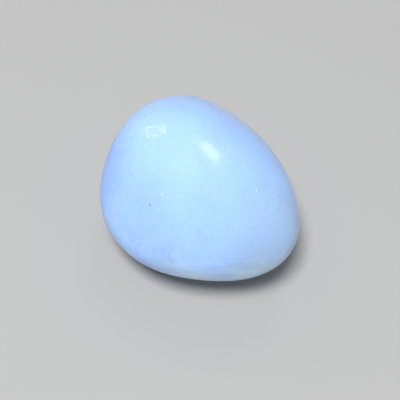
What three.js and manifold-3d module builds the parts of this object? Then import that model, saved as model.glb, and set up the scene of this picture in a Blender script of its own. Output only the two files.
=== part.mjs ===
// A tumbled aquamarine: one polished, egg-shaped stone that lies on a small flat worn on its underside.
// Millimetres, +Z up. +X runs from the blunt end of the stone to its narrow end.
// The origin is on the surface it lies on, under the middle of its length and width.
import * as THREE from 'three';
import { mergeVertices } from 'three/addons/utils/BufferGeometryUtils.js';
import Module from 'manifold-3d';

// Size over all, as it lies.
const LENGTH = 28;
const WIDTH = 25;
const HEIGHT = 17.5;

// How much of the round underside is worn away flat. It leaves a foot about 7 mm across.
const FOOT_WEAR = 0.25;

// The rounded bun that tumbling wears the rough crystal towards, as half-lengths along X, Y and Z.
const BUN = new THREE.Vector3(18, 18, 10);

// The crystal's old faces, still to be felt as broad, soft flats.
// heading: degrees round from +X. tilt: degrees up from level. reach: how far out the face lies.
const WORN_FACES = [
  // round the girth
  { heading: 50, tilt: 0, reach: 14.5 },
  { heading: 75, tilt: 20, reach: 12.5 },
  { heading: 175, tilt: 5, reach: 14 },
  { heading: 205, tilt: 0, reach: 14 },
  { heading: 315, tilt: -10, reach: 16 },
  // on top
  { heading: 50, tilt: 50, reach: 12 },
  { heading: 100, tilt: 50, reach: 10.5 },
  { heading: 230, tilt: 50, reach: 14.5 },
  { heading: 260, tilt: 40, reach: 10 },
  { heading: 310, tilt: 45, reach: 12 },
  { heading: 0, tilt: 90, reach: 11.5 },
  // underneath
  { heading: 25, tilt: -45, reach: 12.5 },
  { heading: 100, tilt: -45, reach: 12 },
  { heading: 185, tilt: -45, reach: 11 },
  { heading: 245, tilt: -50, reach: 11.5 },
  { heading: 295, tilt: -35, reach: 12.5 },
  { heading: 0, tilt: -90, reach: 9.5 },
];

// How crisply the worn faces meet: 2 would melt them into the bun, 20 would leave sharp edges.
const CRISPNESS = 6;

// Shallow hollows, where softer crystal wore away faster.
// spread: degrees from the middle of the hollow to where it is about a third as deep.
const HOLLOWS = [
  { heading: 260, tilt: 10, spread: 15, depth: 0.2 },
  { heading: 20, tilt: 45, spread: 15, depth: 0.15 },
  { heading: 150, tilt: -25, spread: 20, depth: 0.3 },
  { heading: 60, tilt: -30, spread: 15, depth: 0.25 },
];

// Each edge of the icosahedron that the stone is shaped from is divided this often, plus one.
const FACET_DETAIL = 15;

const STONE_COLOUR = '#b4dcf5';

function direction({ heading, tilt }) {
  const turn = THREE.MathUtils.degToRad(heading);
  const rise = THREE.MathUtils.degToRad(tilt);
  return new THREE.Vector3(
    Math.cos(turn) * Math.cos(rise),
    Math.sin(turn) * Math.cos(rise),
    Math.sin(rise),
  );
}

const faces = WORN_FACES.map((face) => ({ facing: direction(face), reach: face.reach }));
const hollows = HOLLOWS.map((hollow) => ({ ...hollow, facing: direction(hollow) }));

// Distance from the middle of the stone to its skin along the unit vector `ray`.
// The bun and each face that the ray meets pull the skin in, the nearest of them most.
function skinDistance(ray) {
  let pull = ray.clone().divide(BUN).length() ** CRISPNESS;
  for (const { facing, reach } of faces) {
    const approach = Math.max(0, ray.dot(facing));
    pull += (approach / reach) ** CRISPNESS;
  }
  return pull ** (-1 / CRISPNESS) - hollowDepth(ray);
}

function hollowDepth(ray) {
  let depth = 0;
  for (const hollow of hollows) {
    const away = THREE.MathUtils.radToDeg(ray.angleTo(hollow.facing)) / hollow.spread;
    depth += hollow.depth * Math.exp(-away * away);
  }
  return depth;
}

// The whole round stone, closed, before its foot is worn flat.
function roundStone() {
  const ball = new THREE.IcosahedronGeometry(1, FACET_DETAIL);
  ball.deleteAttribute('normal');
  ball.deleteAttribute('uv');
  const geometry = mergeVertices(ball, 1e-5);
  const points = geometry.getAttribute('position');
  const ray = new THREE.Vector3();
  for (let i = 0; i < points.count; i += 1) {
    ray.fromBufferAttribute(points, i).normalize();
    const skin = ray.clone().multiplyScalar(skinDistance(ray));
    points.setXYZ(i, skin.x, skin.y, skin.z);
  }
  return geometry;
}

// Brings the stone to its exact size over all and sinks it by the depth that the foot loses.
function sizeAndPlace(geometry) {
  geometry.computeBoundingBox();
  const box = geometry.boundingBox;
  const size = box.getSize(new THREE.Vector3());
  const middle = box.getCenter(new THREE.Vector3());
  geometry.translate(-middle.x, -middle.y, -box.min.z);
  geometry.scale(LENGTH / size.x, WIDTH / size.y, (HEIGHT + FOOT_WEAR) / size.z);
  geometry.translate(0, 0, -FOOT_WEAR);
  return geometry;
}

// What the ground wears away: a slab that fills everything below the level the stone lies on.
function groundSlab() {
  const depth = HEIGHT;
  const slab = new THREE.BoxGeometry(2 * LENGTH, 2 * WIDTH, depth);
  slab.translate(0, 0, -depth / 2);
  slab.deleteAttribute('normal');
  slab.deleteAttribute('uv');
  return mergeVertices(slab);
}

function toSolid(library, geometry) {
  const vertProperties = Float32Array.from(geometry.getAttribute('position').array);
  const triVerts = Uint32Array.from(geometry.getIndex().array);
  return new library.Manifold(new library.Mesh({ numProp: 3, vertProperties, triVerts }));
}

function toGeometry(solid) {
  const { vertProperties, triVerts } = solid.getMesh();
  const geometry = new THREE.BufferGeometry();
  geometry.setAttribute('position', new THREE.BufferAttribute(vertProperties, 3));
  geometry.setIndex(new THREE.BufferAttribute(triVerts, 1));
  geometry.computeVertexNormals();
  return geometry;
}

function tumbledStone(library) {
  const whole = toSolid(library, sizeAndPlace(roundStone()));
  const ground = toSolid(library, groundSlab());
  const material = new THREE.MeshStandardMaterial({ color: STONE_COLOUR, roughness: 0.12, metalness: 0 });
  const stone = new THREE.Mesh(toGeometry(whole.subtract(ground)), material);
  stone.name = 'tumbled_stone';
  return stone;
}

const library = await Module();
library.setup();

const group = new THREE.Group();
group.add(tumbledStone(library));

export default group;
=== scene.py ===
"""A tumbled aquamarine: one polished, milky, pale blue stone that lies on a pale floor."""
import math
import random

import bpy
import numpy as np
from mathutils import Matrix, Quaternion, Vector


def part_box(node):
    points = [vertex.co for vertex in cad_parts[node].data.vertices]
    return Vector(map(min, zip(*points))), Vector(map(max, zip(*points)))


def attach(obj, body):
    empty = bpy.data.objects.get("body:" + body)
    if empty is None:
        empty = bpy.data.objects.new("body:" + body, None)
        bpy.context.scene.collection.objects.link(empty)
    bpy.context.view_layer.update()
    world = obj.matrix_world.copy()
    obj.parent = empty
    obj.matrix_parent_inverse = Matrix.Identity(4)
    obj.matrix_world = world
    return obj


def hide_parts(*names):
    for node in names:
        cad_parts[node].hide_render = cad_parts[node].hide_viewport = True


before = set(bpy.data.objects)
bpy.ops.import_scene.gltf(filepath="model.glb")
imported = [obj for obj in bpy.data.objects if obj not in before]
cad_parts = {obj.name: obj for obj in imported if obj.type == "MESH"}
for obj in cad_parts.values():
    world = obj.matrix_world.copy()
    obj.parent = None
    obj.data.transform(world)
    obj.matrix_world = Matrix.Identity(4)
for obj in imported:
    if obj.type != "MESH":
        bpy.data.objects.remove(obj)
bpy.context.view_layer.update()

# Named sizes are in millimetres and degrees. What comes from the frame, and what is modelled, is in metres.
# A way is a heading round from +X and a tilt up from level, and starts at the middle of the stone.
# A spot is where such a way leaves the skin.
MM = 0.001
NODE = "tumbled_stone"
BODY = "root"
LOW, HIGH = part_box(NODE)
MIDDLE = (LOW + HIGH) / 2

# Camera: the point that it looks at, the way back to it from there, and how far off it stands.
# Nearer than the nearest and farther than the farthest it sees nothing.
CAMERA_TARGET = (-0.09, -1.09, 8)
CAMERA_WAY = (-51, 57.5)
CAMERA_DISTANCE = 117.6
CAMERA_LENS = 81
CAMERA_SENSOR = 36
CAMERA_NEAREST = 5
CAMERA_FARTHEST = 20000

# The skin is a fine ball drawn onto the solid and rubbed smooth.
BALL_SUBDIVISIONS = 7
RUB_PASSES = 30
RUB_STRENGTH = 0.5
# The tumbler leaves it very slightly uneven. The top of the ripple, at level 1, is level with the skin,
# and all else of it sinks the skin, so that the stone stays inside the solid's box.
RIPPLE_SIZE = 5
RIPPLE_DEPTH = 0.008
RIPPLE_TOP = 1

# Pits that polishing left: spot, width, depth, and how dark their colour is made, from 0 to 1.
PITS = [
    ((254.8, 29), 0.3, 0.08, 1.0),
    ((267.6, 32.3), 0.28, 0.03, 0.13),
    ((286, 36.1), 0.26, 0.02, 0.05),
    ((270.2, 23.8), 0.22, 0.02, 0.1),
    ((274.3, 25.3), 0.2, 0.02, 0.1),
]
# Small pits strewn over the far side, drawn at random between these bounds.
# Their tilts are drawn by the sine, which strews them evenly from low to high.
STRAY_SEED = 7
STRAY_PITS = 14
STRAY_HEADINGS = (10, 200)
STRAY_TILT_SINES = (-0.7, 0.35)
STRAY_WIDTHS = (0.14, 0.3)
STRAY_DEPTHS = (0.03, 0.07)
STRAY_DARKNESS = (0.1, 0.7)
# One short scratch, between two spots.
SCRATCH = ((222.6, 29.7), (228, 30.8))
SCRATCH_WIDTH = 0.4
SCRATCH_DEPTH = 0.012
SCRATCH_DARKNESS = 0.05

# How a mark is pressed. Reaches go out from its middle and are shares of its width.
# First the skin is refined round it in two rounds, each with so many cuts of its edges.
REFINED_REACHES = (2.2, 1.3)
REFINED_CUTS = 2
# Then its middle is pushed in whole, and the push fades to nothing at the edge.
PRESS_MIDDLE = 0.1
PRESS_EDGE = 0.8
# A scratch is pressed along points no farther apart than this share of its width.
SCRATCH_STEP = 0.3
# The dark colour of a mark is full near its middle and ends farther out.
MARK_DARK_FULL = 0.24
MARK_DARK_END = 0.54
MARK_DARK_COLOUR = (0.12, 0.2, 0.3)

# The blue of the stone, and the paler blue painted along the lower front and at the tip: painted light, where
# light bouncing up and light passing through brighten the stone.
STONE_BLUE = (0.385, 0.582, 0.96)
PAINTED_LIGHT_BLUE = (0.6, 0.8, 1)
# Where the painted light is: name, middle, how far from there it is full and where it ends, and its share.
PAINTED_LIGHT_ZONES = [
    ("painted_light_rim", (9.5, -13, 1), (6, 11.5), 1),
    ("painted_light_tip", (16.5, -6, 4), (5.5, 9.5), 0.8),
]
# Zones of tint: name, middle, how far from there a zone is full and where it ends,
# and what it multiplies the colour by. The pale ones are painted light on the top and the front,
# the dusky ones are painted shade and darker reflection along the rims, the grey ones are painted shade
# and reflection at the narrow end, and the veil low on the front is a painted darker reflection.
# The blue edge only makes the lower left a little bluer.
ZONES = [
    ("painted_light_heart", (-5, -3, 17), (3, 10), (1.06, 1.055, 0.82)),
    ("painted_light_crown", (1, 1, 18), (2, 8), (1.03, 1.03, 1)),
    ("painted_light_shoulder", (-5.5, -4, 17), (0.5, 4.5), (1.03, 1.035, 1)),
    ("painted_light_top", (-5, 5, 16.5), (1, 5), (1.01, 1.06, 0.98)),
    ("painted_light_lip", (3, -9, 12), (3, 8), (1.03, 1.025, 1)),
    ("painted_light_cheek", (-5.5, -10.5, 10.5), (0.5, 4), (1.05, 1.05, 1)),
    ("painted_shade_edge", (-12.5, -7, 11.5), (1, 7.5), (0.82, 0.84, 1)),
    ("painted_shade_brow", (-9, 11, 11), (2, 5.5), (0.9, 0.99, 1)),
    ("painted_shade_back", (3, 10, 14), (3, 8), (0.92, 0.98, 1.02)),
    ("blue_edge", (-10.5, -10, 6), (2, 6), (0.97, 0.98, 1.04)),
    ("painted_shade_nose", (13.5, 0.5, 13), (2, 9.5), (0.96, 0.91, 0.79)),
    ("painted_shade_chin", (10.8, -5.5, 11.2), (1, 4.5), (1.01, 0.98, 0.88)),
    ("painted_reflection_veil", (3.5, -11.5, 9.5), (0.5, 4), (0.96, 0.95, 0.91)),
]
# Small soft patches: spot, how far they reach, and what each multiplies the colour by.
PATCHES = [
    ((264.9, 3.6), 0.6, (0.92, 0.92, 0.94)),
    ((286.4, 5.2), 0.8, (0.92, 0.93, 0.95)),
    ((290.2, 10.1), 1, (1.07, 1.05, 1.01)),
    ((253.2, -2.6), 1.1, (1.08, 1.05, 1)),
    ((266.6, -2.8), 1, (1.08, 1.05, 1)),
    ((306.5, 4.9), 0.9, (1.07, 1.05, 1)),
    ((304.1, 29), 0.6, (0.94, 0.94, 0.96)),
    ((316, 41.4), 0.5, (0.95, 0.95, 0.97)),
    ((343.2, 26.2), 0.5, (0.95, 0.95, 0.97)),
    ((267.8, 18.8), 0.45, (0.95, 0.95, 0.97)),
]
# A patch is full out to this share of its reach.
PATCH_FULL = 0.2
# Painted glints, as small white specks: spot and width. Each is full, and ends, at these shares of its width
# from its middle.
GLINT_FLECKS = [
    ((258.7, 41.8), 0.24),
    ((4.5, 42.5), 0.24),
    ((272.7, 58.6), 0.12),
]
FLECK_FULL = 0.2
FLECK_END = 0.75
GLINT_WHITE = (0.56, 0.78, 0.98)

# The noises that fray the edges of the zones and of the patches: size of their lumps, and how far they push.
ZONE_FRAY = (5, 4)
PATCH_FRAY = (1.2, 1.5)
FRAY_DETAIL = 3.0
NOISE_MIDDLE = (0.5, 0.5, 0.5)
# Clouds and grain: between the two values of the spread, a noise goes from nothing to all of its tint.
NOISE_SPREAD = (0.3, 0.7)
CLOUD_SIZE = 6
CLOUD_DETAIL = 3.0
CLOUD_TINT = (0.95, 0.95, 0.98)
GRAIN_SIZE = 0.45
GRAIN_DETAIL = 3.0
GRAIN_HARSHNESS = 0.8
GRAIN_TINT = (0.91, 0.92, 0.93)

# Wisps of darker and paler blue, which lie flat: partly the milk of the stone and partly a painted reflection
# of the floor and its shade, streaky low on the front. The darker ones are where their noise is low.
WISP_SIZE = 3
WISP_DETAIL = 3.0
WISP_FLATNESS = 3.5
WISP_DARKER = (0.92, 0.93, 0.95)
WISP_DARKER_SPREAD = (0.35, 0.5)
WISP_PALER = (1.07, 1.05, 1.01)
WISP_PALER_SPREAD = (0.5, 0.65)
NO_TINT = (1, 1, 1)
# They start between these two places along X, and fade out between these two heights.
WISP_START = (-6, -1)
WISP_TOP = (9, 12.5)

# The polish: smears that are a little less glossy, and unevenness too fine for the mesh.
SMEAR_SIZE = 2.5
SMEAR_DETAIL = 4.0
SMEAR_SPREAD = (0.45, 0.7)
SMEAR_ROUGHNESS = (0.02, 0.05)
PEEL_SIZE = 0.7
PEEL_DETAIL = 2.0
PEEL_HEIGHT = 0.002
BERYL_IOR = 1.575
# How deep red, green and blue light wander in the milk, as multiples of the depth.
MILK_DEPTH = 2.5
MILK_SPREAD = (1.0, 1.1, 1.3)

# Lamps. Their thickness is in degrees as seen from the stone, and a radiance of 1 shows as plain white.
LAMP_DISTANCE = 500
SOFTBOX_WAY = (285, 74)
SOFTBOX_WIDTH = 140
SOFTBOX_RADIANCE = 50
# Lamps that show as highlights: name, the ways to their two ends, thickness, radiance and shape.
STRIPS = [
    ("lamp_bulb", (112.3, 40.5), (105.2, 58.5), 10, 2.1, "ELLIPSE"),
    ("lamp_shade", (113, 38.5), (103.3, 62), 14.5, 1.1, "ELLIPSE"),
    ("lamp_glow", (111.5, 35), (100.5, 67.5), 24, 0.42, "ELLIPSE"),
    ("window_top", (166, 32.3), (153, 36.6), 2.1, 3.4, "RECTANGLE"),
    ("window_left", (167, 33), (180, 40.5), 2, 2.6, "RECTANGLE"),
    ("window_bottom", (178.6, 41), (163, 45.5), 2, 2.7, "RECTANGLE"),
    ("window_right", (161, 43.5), (152, 37.4), 1.4, 0.8, "RECTANGLE"),
    ("window_pane", (174, 36), (157.5, 41.2), 8, 0.42, "RECTANGLE"),
    ("shutter", (144.9, 35.6), (155.2, 45.5), 4, 2.4, "RECTANGLE"),
    ("glint", (170.8, 29.5), (172.8, 29.3), 1.8, 4.7, "RECTANGLE"),
]
ROOM_COLOUR = (1, 1, 1)
ROOM_LIGHT = 0.3

FLOOR_WIDTH = 4000
FLOOR_COLOUR = (0.38, 0.38, 0.38)
FLOOR_ROUGHNESS = 0.9
FLOOR_GLOSS = 0.2

# A Mix node has sockets of one name for numbers and for colours, so those for colours go by their number.
MIX_SHARE, MIX_FIRST, MIX_SECOND, MIX_RESULT = 0, 6, 7, 2


def toward(heading, tilt):
    """The unit vector that points heading degrees round from +X and tilt degrees up."""
    turn, rise = math.radians(heading), math.radians(tilt)
    return Vector((math.cos(turn) * math.cos(rise), math.sin(turn) * math.cos(rise), math.sin(rise)))


def aim(item, place, target):
    """Puts a camera or a lamp at a place and turns its front to the target."""
    item.location = place
    item.rotation_mode = "QUATERNION"
    item.rotation_quaternion = (target - place).to_track_quat("-Z", "Y")


def make_camera():
    bpy.ops.object.camera_add()
    camera = bpy.context.object
    camera.name = "camera"
    camera.data.lens = CAMERA_LENS
    camera.data.sensor_width = CAMERA_SENSOR
    camera.data.clip_start = CAMERA_NEAREST * MM
    camera.data.clip_end = CAMERA_FARTHEST * MM
    target = Vector(CAMERA_TARGET) * MM
    aim(camera, target + toward(*CAMERA_WAY) * (CAMERA_DISTANCE * MM), target)
    bpy.context.scene.camera = camera


def only(item):
    """Makes one object the selected and active one."""
    bpy.ops.object.select_all(action="DESELECT")
    item.select_set(True)
    bpy.context.view_layer.objects.active = item


def finish_modifier(item, kind, name, **settings):
    """Adds a modifier with its settings and applies it."""
    modifier = item.modifiers.new(name, kind)
    for key, value in settings.items():
        setattr(modifier, key, value)
    bpy.ops.object.modifier_apply(modifier=modifier.name)


def make_skin():
    """The polished skin: a fine ball of the stone's size, wrapped onto the solid and rubbed smooth."""
    bpy.ops.object.select_all(action="DESELECT")
    bpy.ops.mesh.primitive_ico_sphere_add(subdivisions=BALL_SUBDIVISIONS, radius=1, location=MIDDLE)
    skin = bpy.context.object
    skin.name = "polished_stone"
    skin.scale = (HIGH - LOW) / 2
    bpy.ops.object.transform_apply(location=True, rotation=False, scale=True)
    finish_modifier(skin, "SHRINKWRAP", "onto_solid", target=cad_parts[NODE])
    finish_modifier(skin, "SMOOTH", "rub", factor=RUB_STRENGTH, iterations=RUB_PASSES)
    ripple = bpy.data.textures.new("tumbler_ripple", "CLOUDS")
    ripple.noise_scale = RIPPLE_SIZE * MM
    finish_modifier(
        skin,
        "DISPLACE",
        "ripple",
        texture=ripple,
        texture_coords="LOCAL",
        strength=RIPPLE_DEPTH * MM,
        mid_level=RIPPLE_TOP,
    )
    return skin


def skin_point(skin, spot):
    """The point of the skin, and the way it faces, at a spot."""
    out = toward(*spot)
    found, point, normal, _ = skin.ray_cast(MIDDLE + out * max(HIGH - LOW), -out)
    if not found:
        raise RuntimeError("a mark misses the stone")
    return point, normal


def distances(item, kind, points):
    """How far each vertex, or the middle of each face, is from the nearest of some points."""
    elements, key = {"VERT": (item.data.vertices, "co"), "FACE": (item.data.polygons, "center")}[kind]
    places = np.empty(len(elements) * 3, dtype=np.float32)
    elements.foreach_get(key, places)
    places = places.reshape(-1, 3)
    return np.min([np.linalg.norm(places - np.array(point), axis=1) for point in points], axis=0)


def choose(item, kind, chosen):
    """Selects some vertices or faces of an object and goes into its edit mode."""
    for elements in (item.data.vertices, item.data.edges, item.data.polygons):
        elements.foreach_set("select", np.zeros(len(elements), dtype=bool))
    elements = item.data.vertices if kind == "VERT" else item.data.polygons
    elements.foreach_set("select", chosen)
    bpy.ops.object.mode_set(mode="EDIT")
    bpy.ops.mesh.select_mode(type=kind)


def press(skin, points, normal, width, depth):
    """Refines the skin round some points and pushes it in there, as a pit or a scratch."""
    for reach in REFINED_REACHES:
        choose(skin, "FACE", distances(skin, "FACE", points) < reach * width * MM)
        bpy.ops.mesh.subdivide(number_cuts=REFINED_CUTS)
        bpy.ops.object.mode_set(mode="OBJECT")
    away = distances(skin, "VERT", points)
    choose(skin, "VERT", away <= max(away.min(), PRESS_MIDDLE * width * MM))
    bpy.ops.transform.translate(
        value=-normal * depth * MM,
        use_proportional_edit=True,
        proportional_edit_falloff="SMOOTH",
        proportional_size=width * MM * PRESS_EDGE,
    )
    bpy.ops.object.mode_set(mode="OBJECT")


def stray_pits():
    """The small pits of the far side, in the form of those in PITS."""
    chance = random.Random(STRAY_SEED)
    pits = []
    for _ in range(STRAY_PITS):
        heading = chance.uniform(*STRAY_HEADINGS)
        tilt = math.degrees(math.asin(chance.uniform(*STRAY_TILT_SINES)))
        width = chance.uniform(*STRAY_WIDTHS)
        depth = chance.uniform(*STRAY_DEPTHS)
        darkness = chance.uniform(*STRAY_DARKNESS)
        pits.append(((heading, tilt), width, depth, darkness))
    return pits


def press_pit(skin, spot, width, depth, darkness):
    """Presses a pit, and gives the points that its dark colour lies round, their width and how dark it is."""
    point, normal = skin_point(skin, spot)
    press(skin, [point], normal, width, depth)
    return [point], width, darkness


def press_scratch(skin):
    """Presses the scratch along a row of points, and gives the same for its dark colour."""
    (start, start_normal), (end, end_normal) = (skin_point(skin, spot) for spot in SCRATCH)
    steps = math.ceil((end - start).length / (SCRATCH_STEP * SCRATCH_WIDTH * MM))
    line = [start.lerp(end, step / steps) for step in range(steps + 1)]
    press(skin, line, (start_normal + end_normal).normalized(), SCRATCH_WIDTH, SCRATCH_DEPTH)
    return line, SCRATCH_WIDTH, SCRATCH_DARKNESS


def mark_skin(skin):
    """Presses the pits and the scratch, and keeps how dark they colour the skin as an attribute."""
    marks = [press_pit(skin, *pit) for pit in PITS + stray_pits()]
    marks.append(press_scratch(skin))
    shade = np.zeros(len(skin.data.vertices), dtype=np.float32)
    for points, width, darkness in marks:
        away = distances(skin, "VERT", points) / (width * MM)
        inside = np.clip((MARK_DARK_END - away) / (MARK_DARK_END - MARK_DARK_FULL), 0, 1)
        shade = np.maximum(shade, inside * darkness)
    skin.data.attributes.new("mark_darkness", "FLOAT", "POINT").data.foreach_set("value", shade)


def add_node(tree, kind, inputs, **settings):
    """Adds a node. An input is linked where its value is another node's output, and set otherwise."""
    item = tree.nodes.new(kind)
    for key, value in settings.items():
        setattr(item, key, value)
    for key, value in inputs.items():
        if isinstance(value, bpy.types.NodeSocket):
            tree.links.new(value, item.inputs[key])
        else:
            item.inputs[key].default_value = value
    return item


def vector_sum(tree, operation, inputs):
    """Adds, subtracts or scales coordinates."""
    return add_node(tree, "ShaderNodeVectorMath", inputs, operation=operation).outputs["Vector"]


def grade(tree, value, start, end, low=0, high=1):
    """Turns a value between start and end into one that runs smoothly from low to high."""
    inputs = {"Value": value, "From Min": start, "From Max": end, "To Min": low, "To Max": high}
    return add_node(tree, "ShaderNodeMapRange", inputs, interpolation_type="SMOOTHSTEP").outputs["Result"]


def cloud(tree, place, size, detail, roughness=0.5):
    """A noise between 0 and 1 with lumps of about the size given."""
    inputs = {"Vector": place, "Scale": 1 / (size * MM), "Detail": detail, "Roughness": roughness}
    return add_node(tree, "ShaderNodeTexNoise", inputs).outputs["Fac"]


def frayed(tree, place, size, reach):
    """The coordinates pushed about by a noise, so that what they bound gets a ragged edge."""
    inputs = {"Vector": place, "Scale": 1 / (size * MM), "Detail": FRAY_DETAIL}
    noise = add_node(tree, "ShaderNodeTexNoise", inputs).outputs["Color"]
    either_way = vector_sum(tree, "SUBTRACT", {0: noise, 1: NOISE_MIDDLE})
    push = vector_sum(tree, "SCALE", {0: either_way, "Scale": reach * MM})
    return vector_sum(tree, "ADD", {0: place, 1: push})


def nearness(tree, place, middle, full, end, most=1):
    """The most as far as full from a point, and 0 from end on."""
    inputs = {0: place, 1: [part * MM for part in middle]}
    distance = add_node(tree, "ShaderNodeVectorMath", inputs, operation="DISTANCE").outputs["Value"]
    return grade(tree, distance, full * MM, end * MM, most, 0)


def blend(tree, colour, other, share, kind="MIX"):
    """Mixes or multiplies two colours, by a share between 0 and 1."""
    inputs = {MIX_SHARE: share}
    for key, value in ((MIX_FIRST, colour), (MIX_SECOND, other)):
        inputs[key] = (*value, 1) if isinstance(value, tuple) else value
    item = add_node(tree, "ShaderNodeMix", inputs, data_type="RGBA", blend_type=kind)
    return item.outputs[MIX_RESULT]


def add_zones(tree, ragged):
    """The blue of the stone with its broad zones, most of them painted light and shade."""
    colour = STONE_BLUE
    # The paler blue painted in first is painted light; most of the tints after it are painted light and
    # shade.
    for _, middle, (full, end), share in PAINTED_LIGHT_ZONES:
        colour = blend(tree, colour, PAINTED_LIGHT_BLUE, nearness(tree, ragged, middle, full, end, share))
    for _, middle, (full, end), tint in ZONES:
        colour = blend(tree, colour, tint, nearness(tree, ragged, middle, full, end), "MULTIPLY")
    return colour


def add_clouds(tree, colour, ragged):
    clouds = grade(tree, cloud(tree, ragged, CLOUD_SIZE, CLOUD_DETAIL), *NOISE_SPREAD)
    return blend(tree, colour, CLOUD_TINT, clouds, "MULTIPLY")


def add_grain(tree, colour, place):
    grain = cloud(tree, place, GRAIN_SIZE, GRAIN_DETAIL, GRAIN_HARSHNESS)
    return blend(tree, colour, GRAIN_TINT, grade(tree, grain, *NOISE_SPREAD), "MULTIPLY")


def add_wisps(tree, colour, ragged):
    """Flat wisps, low down on the stone and from its middle to its narrow end."""
    inputs = {"Vector": ragged, "Scale": (1, 1, WISP_FLATNESS)}
    flattened = add_node(tree, "ShaderNodeMapping", inputs).outputs["Vector"]
    wisps = cloud(tree, flattened, WISP_SIZE, WISP_DETAIL)
    veil = blend(tree, WISP_DARKER, NO_TINT, grade(tree, wisps, *WISP_DARKER_SPREAD))
    veil = blend(tree, veil, WISP_PALER, grade(tree, wisps, *WISP_PALER_SPREAD))
    along, _, height = add_node(tree, "ShaderNodeSeparateXYZ", {"Vector": ragged}).outputs
    low_down = grade(tree, height, *(end * MM for end in WISP_TOP), 1, 0)
    share = grade(tree, along, *(end * MM for end in WISP_START), 0, low_down)
    return blend(tree, colour, veil, share, "MULTIPLY")


def add_patches(tree, colour, place, patches):
    ragged = frayed(tree, place, *PATCH_FRAY)
    for middle, reach, tint in patches:
        share = nearness(tree, ragged, middle, PATCH_FULL * reach, reach)
        colour = blend(tree, colour, tint, share, "MULTIPLY")
    return colour


def add_glint_flecks(tree, colour, place, glint_flecks):
    # Each speck is a painted glint.
    for middle, width in glint_flecks:
        share = nearness(tree, place, middle, FLECK_FULL * width, FLECK_END * width)
        colour = blend(tree, colour, GLINT_WHITE, share)
    return colour


def add_mark_darkness(tree, colour):
    """The skin coloured darker in its marks, most in their middles."""
    darkness = add_node(tree, "ShaderNodeAttribute", {}, attribute_name="mark_darkness").outputs["Fac"]
    return blend(tree, colour, MARK_DARK_COLOUR, darkness)


def polish(tree, shader, place, ragged):
    """A clear polish, with smears and a fine unevenness in its gloss."""
    smears = cloud(tree, ragged, SMEAR_SIZE, SMEAR_DETAIL)
    tree.links.new(grade(tree, smears, *SMEAR_SPREAD, *SMEAR_ROUGHNESS), shader.inputs["Roughness"])
    peel = cloud(tree, place, PEEL_SIZE, PEEL_DETAIL)
    bump = add_node(tree, "ShaderNodeBump", {"Height": peel, "Strength": 1, "Distance": PEEL_HEIGHT * MM})
    tree.links.new(bump.outputs["Normal"], shader.inputs["Normal"])
    shader.inputs["IOR"].default_value = BERYL_IOR


def make_stone_material(glint_flecks, patches):
    """Milky aquamarine: light wanders inside it, its blue is uneven in many small ways, and painted light,
    shade, reflections and glints lie in its colour.
    """
    material = bpy.data.materials.new("milky_aquamarine")
    material.use_nodes = True
    tree = material.node_tree
    shader = tree.nodes["Principled BSDF"]
    place = add_node(tree, "ShaderNodeTexCoord", {}).outputs["Object"]
    ragged = frayed(tree, place, *ZONE_FRAY)

    colour = add_zones(tree, ragged)
    colour = add_clouds(tree, colour, ragged)
    colour = add_grain(tree, colour, place)
    colour = add_wisps(tree, colour, ragged)
    colour = add_patches(tree, colour, place, patches)
    colour = add_glint_flecks(tree, colour, place, glint_flecks)
    colour = add_mark_darkness(tree, colour)
    tree.links.new(colour, shader.inputs["Base Color"])

    polish(tree, shader, place, ragged)
    shader.inputs["Subsurface Weight"].default_value = 1
    shader.inputs["Subsurface Radius"].default_value = MILK_SPREAD
    shader.inputs["Subsurface Scale"].default_value = MILK_DEPTH * MM
    return material


def make_floor():
    bpy.ops.mesh.primitive_plane_add(size=FLOOR_WIDTH * MM, location=(0, 0, 0))
    floor = bpy.context.object
    floor.name = "floor"
    material = bpy.data.materials.new("pale_floor")
    material.use_nodes = True
    shader = material.node_tree.nodes["Principled BSDF"]
    shader.inputs["Base Color"].default_value = (*FLOOR_COLOUR, 1)
    shader.inputs["Roughness"].default_value = FLOOR_ROUGHNESS
    shader.inputs["Specular IOR Level"].default_value = FLOOR_GLOSS
    floor.data.materials.append(material)


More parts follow.
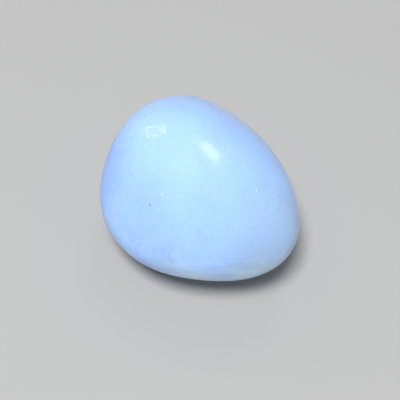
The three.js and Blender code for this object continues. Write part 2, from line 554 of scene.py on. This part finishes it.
def make_lamp(name, place, size, radiance, shape="RECTANGLE", mirrored=True):
    """An area lamp that faces the stone. One that isn't mirrored lights the stone and leaves no highlight."""
    bpy.ops.object.light_add(type="AREA")
    lamp = bpy.context.object
    lamp.name = name
    lamp.data.shape = shape
    lamp.data.size, lamp.data.size_y = size
    filled = math.pi / 4 if shape == "ELLIPSE" else 1
    lamp.data.energy = math.pi * size[0] * size[1] * filled * radiance
    aim(lamp, place, MIDDLE)
    lamp.visible_camera = False
    lamp.visible_glossy = mirrored
    return lamp


def lamp_place(way):
    """Where a lamp stands that is seen from the stone at the way given."""
    return MIDDLE + toward(*way) * (LAMP_DISTANCE * MM)


def span(degrees):
    """The width that covers so many degrees at the lamps' distance."""
    return 2 * LAMP_DISTANCE * MM * math.tan(math.radians(degrees) / 2)


def make_strip(name, start_way, end_way, thickness, radiance, shape):
    """A long lamp that the stone sees reaching from one way to another."""
    start, end = lamp_place(start_way), lamp_place(end_way)
    run = end - start
    lamp = make_lamp(name, (start + end) / 2, (run.length, span(thickness)), radiance, shape)
    across = lamp.rotation_quaternion @ Vector((1, 0, 0))
    upward = lamp.rotation_quaternion @ Vector((0, 1, 0))
    turn = Quaternion((0, 0, 1), math.atan2(run.dot(upward), run.dot(across)))
    lamp.rotation_quaternion = lamp.rotation_quaternion @ turn


def make_lamps():
    """The soft lamp that shapes the stone, and those that show as highlights on it."""
    softbox_size = (SOFTBOX_WIDTH * MM, SOFTBOX_WIDTH * MM)
    make_lamp("softbox", lamp_place(SOFTBOX_WAY), softbox_size, SOFTBOX_RADIANCE, mirrored=False)
    for strip in STRIPS:
        make_strip(*strip)


def make_room():
    """Soft light from all round."""
    room = bpy.data.worlds.new("room")
    room.use_nodes = True
    background = room.node_tree.nodes["Background"]
    background.inputs["Color"].default_value = (*ROOM_COLOUR, 1)
    background.inputs["Strength"].default_value = ROOM_LIGHT
    bpy.context.scene.world = room


make_camera()
stone = make_skin()
mark_skin(stone)
only(stone)
bpy.ops.object.shade_smooth()
glint_places = [(skin_point(stone, spot)[0] / MM, width) for spot, width in GLINT_FLECKS]
patch_places = [(skin_point(stone, spot)[0] / MM, reach, tint) for spot, reach, tint in PATCHES]
stone.data.materials.append(make_stone_material(glint_places, patch_places))
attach(stone, BODY)
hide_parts(NODE)
make_floor()
make_lamps()
make_room()
# Light comes out as it falls, with no film-like curve.
bpy.context.scene.view_settings.view_transform = "Standard"
